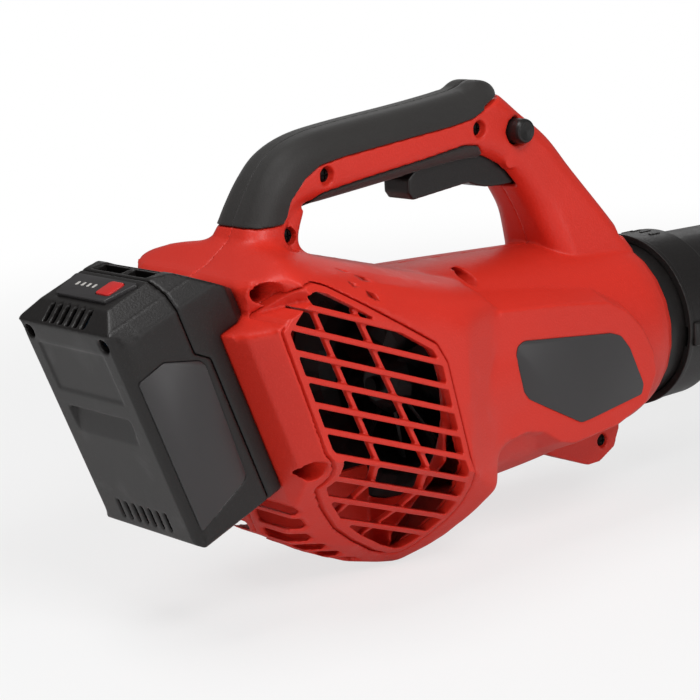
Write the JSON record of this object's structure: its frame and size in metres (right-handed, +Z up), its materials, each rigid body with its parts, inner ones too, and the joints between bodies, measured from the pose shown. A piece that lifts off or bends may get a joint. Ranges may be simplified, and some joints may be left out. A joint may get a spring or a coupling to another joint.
{
  "type": "leaf blower",
  "caption": "Hand-held cordless axial leaf blower with loop handle, side intake grilles, bayonet blow tube and slide-in rear battery pack.",
  "frame": {"origin": "on the ground under the middle of the whole machine", "axes": "+X forward along the blow tube, +Y to the left of the user, +Z up"},
  "size_m": [0.8578, 0.1412, 0.2523],
  "materials": {
    "housing_red": "fine moulded grain, satin",
    "grip_rubber": "soft grained overmould",
    "black_plastic": "fine moulded grain",
    "fan_plastic": "smooth moulded",
    "label_plate": "smooth satin plate, bare",
    "button_red": "smooth",
    "steel": "plated",
    "aluminium": "extruded",
    "copper": "drawn",
    "circuit_board": "coated board",
    "cell_sleeve": "shrink sleeve"
  },
  "bodies": {
    "housing": {"battery_receiver": "black_plastic", "contact_blade_right": "copper", "contact_blade_left": "copper", "controller_tray": "black_plastic", "controller_board": "circuit_board", "heat_sink": "aluminium", "trigger_pin": "steel", "switch_module": "black_plastic", "trigger_spring": "steel", "lock_button_spring": "steel", "top_grip_right": "grip_rubber", "top_grip_left": "grip_rubber", "under_grip_right": "grip_rubber", "under_grip_left": "grip_rubber", "housing_screw_1": "steel", "housing_screw_2": "steel", "housing_screw_3": "steel", "housing_screw_4": "steel", "housing_screw_5": "steel", "housing_screw_6": "steel", "housing_screw_7": "steel", "housing_screw_8": "steel", "grille_right": "housing_red", "grille_left": "housing_red", "fan_shroud": "black_plastic", "motor_stator": "copper", "bearing_front": "steel", "bearing_rear": "steel", "motor_end_cap": "black_plastic", "tail_cone": "black_plastic", "outlet_duct": "black_plastic", "label_plate_right": "label_plate", "label_plate_left": "label_plate", "housing_right": "housing_red", "housing_left": "housing_red"},
    "fan": {"fan_rotor": "fan_plastic", "fan_screw": "steel", "motor_rotor": "steel"},
    "trigger": {"trigger": "black_plastic"},
    "lock_button": {"lock_button": "black_plastic"},
    "tube": {"blow_tube": "black_plastic"},
    "battery": {"battery_case_rear": "black_plastic", "battery_case_front": "black_plastic", "battery_screw_1": "steel", "battery_screw_2": "steel", "cell_pack": "cell_sleeve", "battery_board": "circuit_board", "battery_terminals": "copper", "battery_panel_right": "label_plate", "battery_panel_left": "label_plate", "gauge_panel": "label_plate", "latch_spring": "steel"},
    "latch": {"latch_button": "black_plastic"},
    "gauge_button": {"gauge_button": "button_red"}
  },
  "joints": [
    {"name": "fan_spin", "type": "hinge", "parent": "housing", "child": "fan", "pos_m": [-0.24111, 0, 0.098], "axis": [1, 0, 0], "continuous": true},
    {"name": "trigger_pull", "type": "hinge", "parent": "housing", "child": "trigger", "pos_m": [-0.14411, 0, 0.207], "axis": [0, 1, 0], "range_deg": [0, 8], "stiffness_Nm_per_rad": 0.6, "springref_deg": -20.05, "deforming": ["trigger_spring"]},
    {"name": "lock_button_push", "type": "slide", "parent": "housing", "child": "lock_button", "axis": [0, 1, 0], "range_m": [0, 0.004], "stiffness_N_per_m": 300, "springref_m": -0.003, "deforming": ["lock_button_spring"]},
    {"name": "tube_twist", "type": "hinge", "parent": "housing", "child": "tube", "pos_m": [-0.02711, 0, 0.098], "axis": [1, 0, 0], "range_deg": [0, 25]},
    {"name": "battery_slide", "type": "slide", "parent": "housing", "child": "battery", "axis": [-0.3584, 0, 0.9336], "range_m": [0, 0.075]},
    {"name": "latch_press", "type": "slide", "parent": "battery", "child": "latch", "axis": [0.3584, 0, -0.9336], "range_m": [0, 0.003], "stiffness_N_per_m": 400, "springref_m": -0.003, "deforming": ["latch_spring"]},
    {"name": "gauge_button_press", "type": "slide", "parent": "battery", "child": "gauge_button", "axis": [0.3584, 0, -0.9336], "range_m": [0, 0.0008], "stiffness_N_per_m": 600, "springref_m": -0.002}
  ]
}
